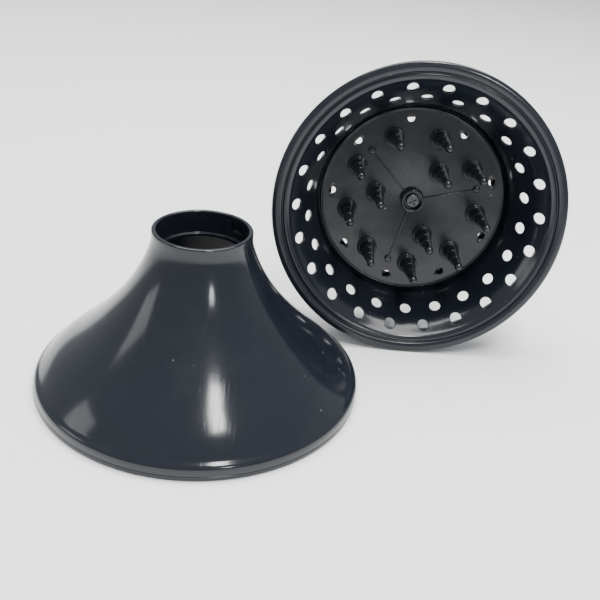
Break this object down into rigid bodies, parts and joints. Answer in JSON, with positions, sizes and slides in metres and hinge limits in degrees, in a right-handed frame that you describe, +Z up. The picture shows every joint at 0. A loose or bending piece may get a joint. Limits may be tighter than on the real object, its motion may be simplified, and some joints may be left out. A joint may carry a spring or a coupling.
{
  "type": "dryer diffuser",
  "caption": "Salon dryer diffuser taken apart: a trumpet hood with a neck socket, and a perforated bowl with a disc of stepped fingers.",
  "frame": {"origin": "centre of the bottom of the whole set's box, on the surface it stands on", "axes": "+Z up along the hood's axis out of its neck; the bowl's hollow side faces -Y, and the bowl stands on the +X side of the hood"},
  "size_m": [0.2812, 0.195, 0.1629],
  "materials": {
    "gloss_black": "high gloss moulding with fine scratches",
    "satin_black": "semi gloss moulding, dusty",
    "finger_black": "gloss moulding",
    "washer_steel": "dull dark plated steel",
    "screw_steel": "dark plated steel"
  },
  "bodies": {
    "hood": {"hood_shell": "gloss_black"},
    "bowl": {"bowl_shell": "gloss_black"},
    "disc": {"centre_disc": "satin_black", "finger_01": "finger_black", "finger_02": "finger_black", "finger_03": "finger_black", "finger_04": "finger_black", "finger_05": "finger_black", "finger_06": "finger_black", "finger_07": "finger_black", "finger_08": "finger_black", "finger_09": "finger_black", "finger_10": "finger_black", "finger_11": "finger_black", "finger_12": "finger_black"},
    "screw": {"hub_washer": "washer_steel", "hub_screw": "screw_steel"}
  },
  "joints": [
    {"name": "bowl_lift", "type": "slide", "parent": "hood", "child": "bowl", "axis": [0, 0, 1], "range_m": [0, 0.12]},
    {"name": "disc_pull", "type": "slide", "parent": "bowl", "child": "disc", "axis": [0, -0.9869, 0.1616], "range_m": [0, 0.06]},
    {"name": "screw_out", "type": "slide", "parent": "disc", "child": "screw", "axis": [0, -0.9869, 0.1616], "range_m": [0, 0.04]}
  ]
}
